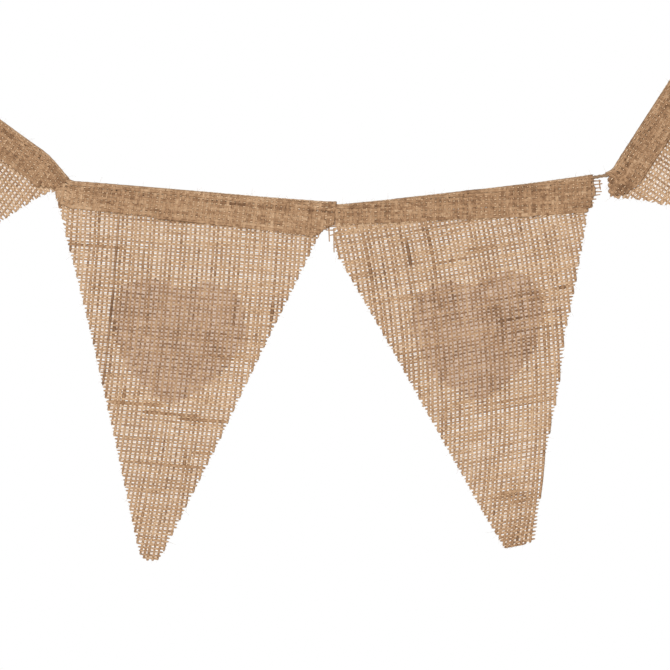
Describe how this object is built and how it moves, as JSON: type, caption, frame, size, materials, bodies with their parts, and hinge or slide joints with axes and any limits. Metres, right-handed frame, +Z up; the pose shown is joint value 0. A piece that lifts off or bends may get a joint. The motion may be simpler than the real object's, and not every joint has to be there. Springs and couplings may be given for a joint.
{
  "type": "fabric bunting",
  "caption": "Open-weave jute pennants with turned-down hems strung on jute twine, to hang as a festive garland.",
  "frame": {"origin": "on the twine's centre line, where the two middle pennants meet", "axes": "+X to the right along the bunting, seen from the side with the turned-down hems; +Y away from that side, square to the cloth; +Z up"},
  "size_m": [0.6871, 0.0158, 0.352],
  "materials": {
    "jute_cloth": "natural undyed open plain weave, matt and hairy",
    "jute_twine": "twisted natural twine, matt"
  },
  "bodies": {
    "root": {"pennant_left_end": "jute_cloth", "pennant_left": "jute_cloth", "pennant_right": "jute_cloth", "pennant_right_end": "jute_cloth", "twine": "jute_twine"}
  },
  "joints": []
}
